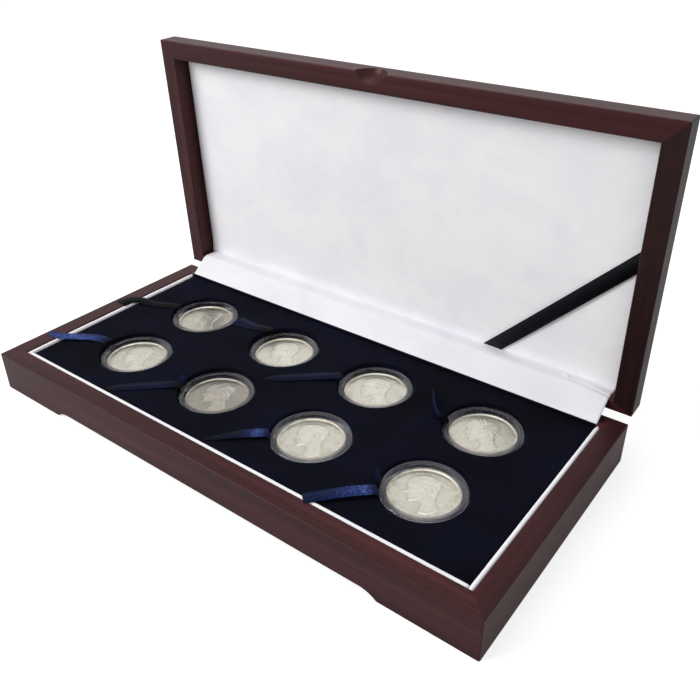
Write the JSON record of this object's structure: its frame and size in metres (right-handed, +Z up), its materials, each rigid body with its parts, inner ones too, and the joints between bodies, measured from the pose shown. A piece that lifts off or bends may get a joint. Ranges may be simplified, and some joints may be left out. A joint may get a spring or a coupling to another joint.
{
  "type": "coin display case",
  "caption": "Hinged mahogany case with a padded lid, a velvet tray and lift ribbons for coins in clear capsules.",
  "frame": {"origin": "under the middle of the open case, on the surface that its feet stand on", "axes": "+X to the right along the front, +Y to the back (the hinge side), +Z up"},
  "size_m": [0.276, 0.1447, 0.1526],
  "materials": {
    "mahogany_lid": "satin lacquer",
    "mahogany_base": "satin lacquer",
    "panel_board": "satin lacquer",
    "velvet": "cut pile",
    "velour": "brushed",
    "satin_navy": "satin",
    "card": "matte",
    "foam": "matte",
    "brass": "polished",
    "acrylic": "clear",
    "coin_silver": "struck"
  },
  "bodies": {
    "base": {"base_front_rail": "mahogany_base", "base_back_rail": "mahogany_base", "base_left_rail": "mahogany_base", "base_right_rail": "mahogany_base", "base_bottom_panel": "panel_board", "liner_front": "velour", "liner_left": "velour", "liner_right": "velour", "tray_card": "card", "tray_foam": "foam", "tray_board": "velvet", "lift_ribbon_a": "satin_navy", "lift_ribbon_b": "satin_navy", "lift_ribbon_c": "satin_navy", "lift_ribbon_d": "satin_navy", "lift_ribbon_e": "satin_navy", "lift_ribbon_f": "satin_navy", "lift_ribbon_g": "satin_navy", "lift_ribbon_h": "satin_navy", "hinge_base_leaf_left": "brass", "hinge_base_leaf_right": "brass", "hinge_pin_left": "brass", "hinge_pin_right": "brass"},
    "lid": {"lid_front_rail": "mahogany_lid", "lid_back_rail": "mahogany_lid", "lid_left_rail": "mahogany_lid", "lid_right_rail": "mahogany_lid", "lid_top_panel": "panel_board", "lid_lining": "velour", "certificate_ribbon": "satin_navy", "hinge_lid_leaf_left": "brass", "hinge_lid_leaf_right": "brass", "hinge_flap": "velour"},
    "capsule_a": {"capsule_base_a": "acrylic", "coin_a": "coin_silver"},
    "capsule_top_a": {"capsule_lid_a": "acrylic"},
    "capsule_b": {"capsule_base_b": "acrylic", "coin_b": "coin_silver"},
    "capsule_top_b": {"capsule_lid_b": "acrylic"},
    "capsule_c": {"capsule_base_c": "acrylic", "coin_c": "coin_silver"},
    "capsule_top_c": {"capsule_lid_c": "acrylic"},
    "capsule_d": {"capsule_base_d": "acrylic", "coin_d": "coin_silver"},
    "capsule_top_d": {"capsule_lid_d": "acrylic"},
    "capsule_e": {"capsule_base_e": "acrylic", "coin_e": "coin_silver"},
    "capsule_top_e": {"capsule_lid_e": "acrylic"},
    "capsule_f": {"capsule_base_f": "acrylic", "coin_f": "coin_silver"},
    "capsule_top_f": {"capsule_lid_f": "acrylic"},
    "capsule_g": {"capsule_base_g": "acrylic", "coin_g": "coin_silver"},
    "capsule_top_g": {"capsule_lid_g": "acrylic"},
    "capsule_h": {"capsule_base_h": "acrylic", "coin_h": "coin_silver"},
    "capsule_top_h": {"capsule_lid_h": "acrylic"}
  },
  "joints": [
    {"name": "lid_hinge", "type": "hinge", "parent": "base", "child": "lid", "pos_m": [0, 0.05984, 0.0202], "axis": [-1, 0, 0], "range_deg": [-88, 0], "deforming": ["hinge_flap"]},
    {"name": "capsule_lift_a", "type": "slide", "parent": "base", "child": "capsule_a", "axis": [0, 0, 1], "range_m": [0, 0.025]},
    {"name": "capsule_open_a", "type": "slide", "parent": "capsule_a", "child": "capsule_top_a", "axis": [0, 0, 1], "range_m": [0, 0.009]},
    {"name": "capsule_lift_b", "type": "slide", "parent": "base", "child": "capsule_b", "axis": [0, 0, 1], "range_m": [0, 0.025]},
    {"name": "capsule_open_b", "type": "slide", "parent": "capsule_b", "child": "capsule_top_b", "axis": [0, 0, 1], "range_m": [0, 0.009]},
    {"name": "capsule_lift_c", "type": "slide", "parent": "base", "child": "capsule_c", "axis": [0, 0, 1], "range_m": [0, 0.025]},
    {"name": "capsule_open_c", "type": "slide", "parent": "capsule_c", "child": "capsule_top_c", "axis": [0, 0, 1], "range_m": [0, 0.009]},
    {"name": "capsule_lift_d", "type": "slide", "parent": "base", "child": "capsule_d", "axis": [0, 0, 1], "range_m": [0, 0.025]},
    {"name": "capsule_open_d", "type": "slide", "parent": "capsule_d", "child": "capsule_top_d", "axis": [0, 0, 1], "range_m": [0, 0.009]},
    {"name": "capsule_lift_e", "type": "slide", "parent": "base", "child": "capsule_e", "axis": [0, 0, 1], "range_m": [0, 0.025]},
    {"name": "capsule_open_e", "type": "slide", "parent": "capsule_e", "child": "capsule_top_e", "axis": [0, 0, 1], "range_m": [0, 0.009]},
    {"name": "capsule_lift_f", "type": "slide", "parent": "base", "child": "capsule_f", "axis": [0, 0, 1], "range_m": [0, 0.025]},
    {"name": "capsule_open_f", "type": "slide", "parent": "capsule_f", "child": "capsule_top_f", "axis": [0, 0, 1], "range_m": [0, 0.009]},
    {"name": "capsule_lift_g", "type": "slide", "parent": "base", "child": "capsule_g", "axis": [0, 0, 1], "range_m": [0, 0.025]},
    {"name": "capsule_open_g", "type": "slide", "parent": "capsule_g", "child": "capsule_top_g", "axis": [0, 0, 1], "range_m": [0, 0.009]},
    {"name": "capsule_lift_h", "type": "slide", "parent": "base", "child": "capsule_h", "axis": [0, 0, 1], "range_m": [0, 0.025]},
    {"name": "capsule_open_h", "type": "slide", "parent": "capsule_h", "child": "capsule_top_h", "axis": [0, 0, 1], "range_m": [0, 0.009]}
  ]
}
